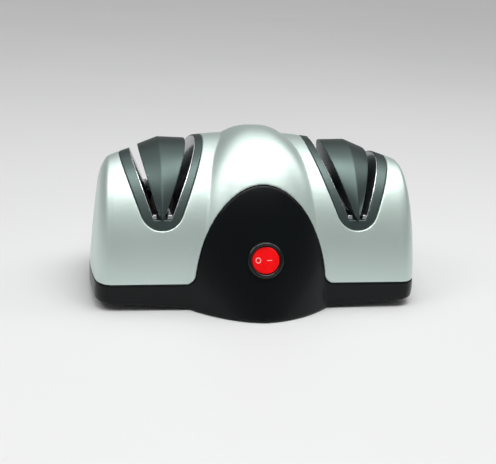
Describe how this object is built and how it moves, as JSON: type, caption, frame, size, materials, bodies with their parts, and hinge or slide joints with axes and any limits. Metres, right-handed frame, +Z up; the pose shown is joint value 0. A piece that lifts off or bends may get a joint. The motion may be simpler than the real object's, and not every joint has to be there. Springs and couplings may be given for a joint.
{
  "type": "electric knife sharpener",
  "caption": "Bench-top electric knife sharpener: silver two-wing casing, black arched front with red rocker switch, V-shaped stations with wedges and steel-lined blade slots.",
  "frame": {"origin": "on the surface the sharpener stands on, below the middle of its outline", "axes": "+X from the left (coarse) station to the right (fine) station, -Y towards the user, +Z up"},
  "size_m": [0.2152, 0.153, 0.1082],
  "materials": {
    "silver_plastic": "satin silver lacquer on a plastic moulding",
    "black_plastic": "glossy near-black moulding",
    "grey_plastic": "satin dark grey moulding",
    "polished_steel": "polished",
    "zinc_plated": "zinc plated",
    "red_plastic": "glossy",
    "rubber": "matt",
    "enamelled_copper": "enamelled copper wire",
    "laminated_iron": "stacked steel laminations",
    "sintered_bronze": "sintered, oiled",
    "white_nylon": "moulded nylon",
    "coarse_abrasive": "bonded coarse abrasive",
    "fine_abrasive": "bonded fine abrasive",
    "brown_insulation": "PVC insulation",
    "blue_insulation": "PVC insulation"
  },
  "bodies": {
    "housing": {"upper_casing": "silver_plastic", "base_casing": "black_plastic", "guide_frame_left": "grey_plastic", "blade_wedge_left": "grey_plastic", "steel_guide_left_outer": "polished_steel", "steel_guide_left_inner": "polished_steel", "guide_frame_right": "grey_plastic", "blade_wedge_right": "grey_plastic", "steel_guide_right_outer": "polished_steel", "steel_guide_right_inner": "polished_steel", "switch_housing": "black_plastic", "switch_terminal_line": "zinc_plated", "switch_terminal_load": "zinc_plated", "stator_core": "laminated_iron", "coil_bobbin": "white_nylon", "coil_winding": "enamelled_copper", "bearing_bracket_left": "zinc_plated", "bearing_bush_left": "sintered_bronze", "bearing_bracket_right": "zinc_plated", "bearing_bush_right": "sintered_bronze", "bracket_screw_front": "zinc_plated", "bracket_screw_back": "zinc_plated", "motor_screw_left_front": "zinc_plated", "casing_screw_left_front": "zinc_plated", "foot_left_front": "rubber", "motor_screw_left_back": "zinc_plated", "casing_screw_left_back": "zinc_plated", "foot_left_back": "rubber", "motor_screw_right_front": "zinc_plated", "casing_screw_right_front": "zinc_plated", "foot_right_front": "rubber", "motor_screw_right_back": "zinc_plated", "casing_screw_right_back": "zinc_plated", "foot_right_back": "rubber", "terminal_block": "white_nylon", "lead_live": "brown_insulation", "lead_switched": "brown_insulation", "lead_neutral": "blue_insulation", "cord_gland": "rubber"},
    "rotor": {"motor_shaft": "polished_steel", "rotor_core": "laminated_iron", "cooling_fan": "black_plastic", "grinding_wheel_coarse": "coarse_abrasive", "grinding_wheel_fine": "fine_abrasive", "wheel_collar_left": "zinc_plated", "wheel_washer_left": "zinc_plated", "wheel_nut_left": "zinc_plated", "wheel_collar_right": "zinc_plated", "wheel_washer_right": "zinc_plated", "wheel_nut_right": "zinc_plated"},
    "rocker": {"switch_rocker": "red_plastic"}
  },
  "joints": [
    {"name": "motor_spin", "type": "hinge", "parent": "housing", "child": "rotor", "pos_m": [0, 0, 0.04], "axis": [1, 0, 0], "continuous": true},
    {"name": "rocker_tilt", "type": "hinge", "parent": "housing", "child": "rocker", "pos_m": [0, -0.06358, 0.0374], "axis": [0, 0.3712, 0.9285], "range_deg": [0, 14]}
  ]
}
